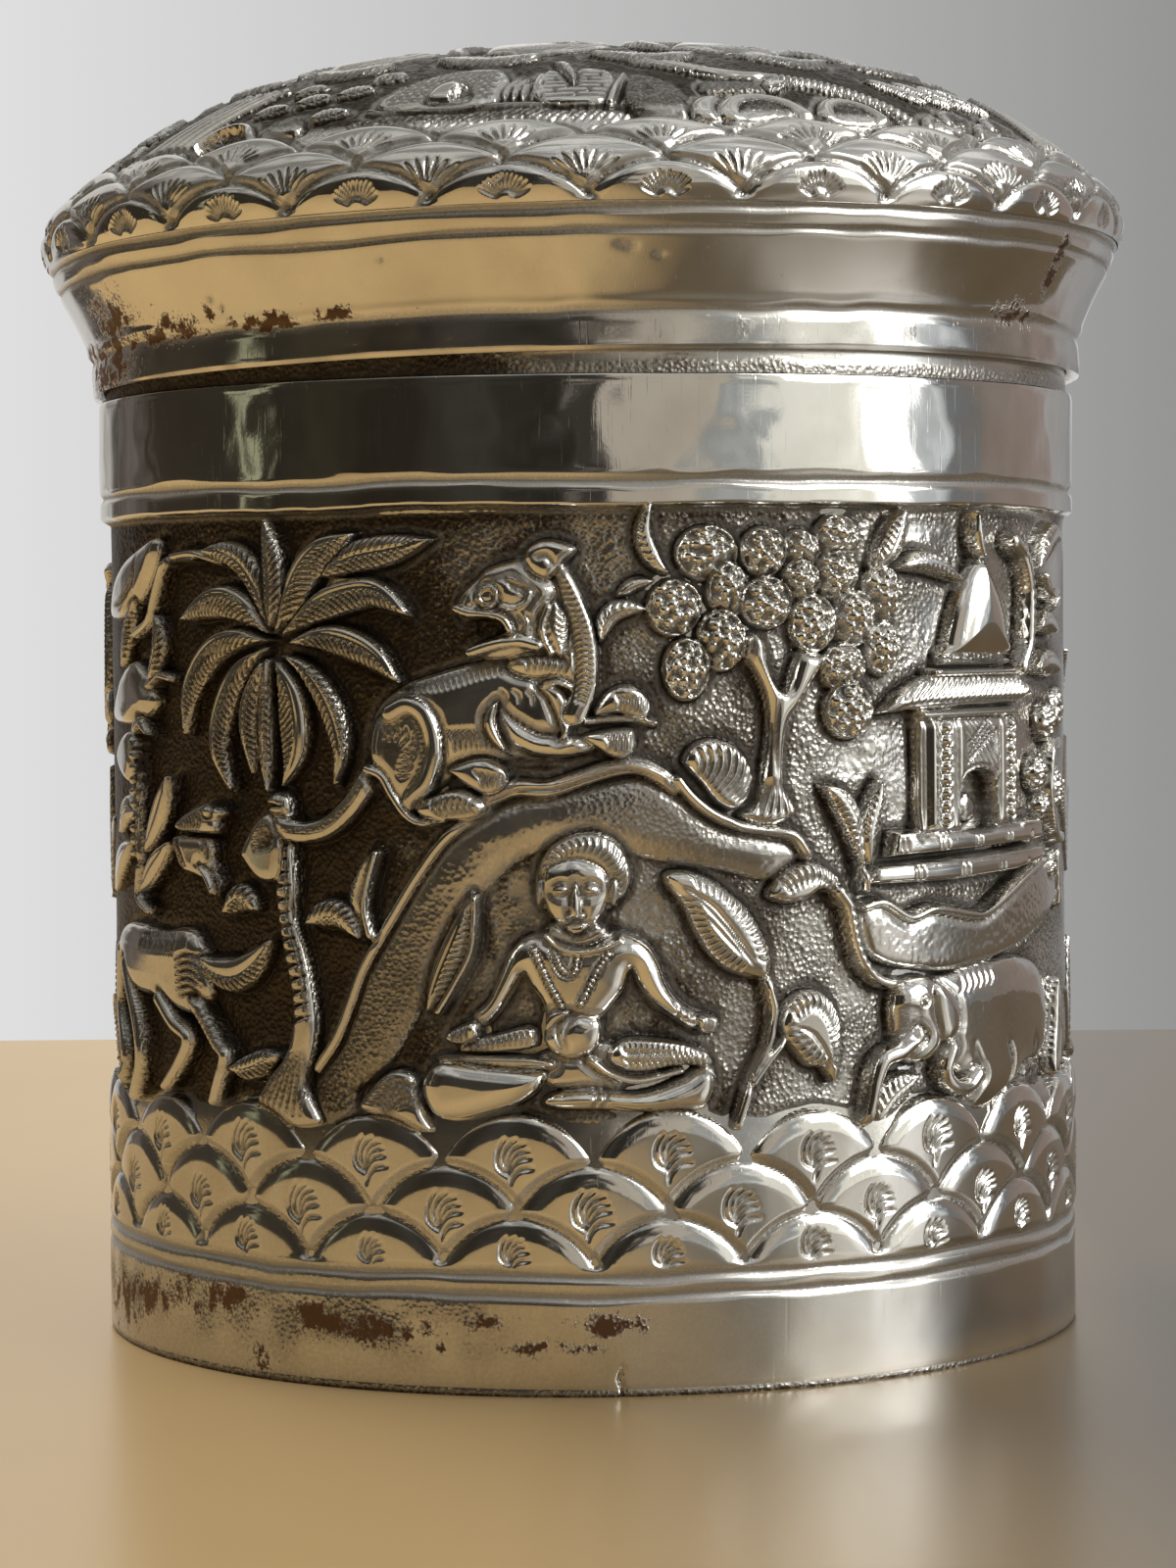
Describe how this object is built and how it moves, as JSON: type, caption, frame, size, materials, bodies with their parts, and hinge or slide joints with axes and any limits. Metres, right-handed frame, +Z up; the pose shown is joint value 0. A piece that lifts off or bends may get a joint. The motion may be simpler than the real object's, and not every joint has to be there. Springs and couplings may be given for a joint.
{
  "type": "tea caddy",
  "caption": "Round silver tea caddy: rolled sleeve with plain foot and mouth bands, let-in base, tapered neck collar and a domed, flared lid that lifts off.",
  "frame": {"origin": "centre of the foot's lower edge, on the surface that the caddy stands on", "axes": "+Z up through the middle of the lid, -Y towards the main side of the frieze, +X to that side's right"},
  "size_m": [0.1022, 0.1022, 0.1196],
  "materials": {
    "chased_silver": "chased silver, dark in the sunk ground and rubbed bright on the raised work",
    "plain_silver": "plain hammered silver, lightly tarnished and scratched"
  },
  "bodies": {
    "caddy": {"body_sleeve": "chased_silver", "base_disc": "plain_silver", "neck_collar": "plain_silver"},
    "lid": {"lid_band": "chased_silver", "lid_dome": "chased_silver"}
  },
  "joints": [
    {"name": "lid_lift", "type": "slide", "parent": "caddy", "child": "lid", "axis": [0, 0, 1], "range_m": [0, 0.04]}
  ]
}
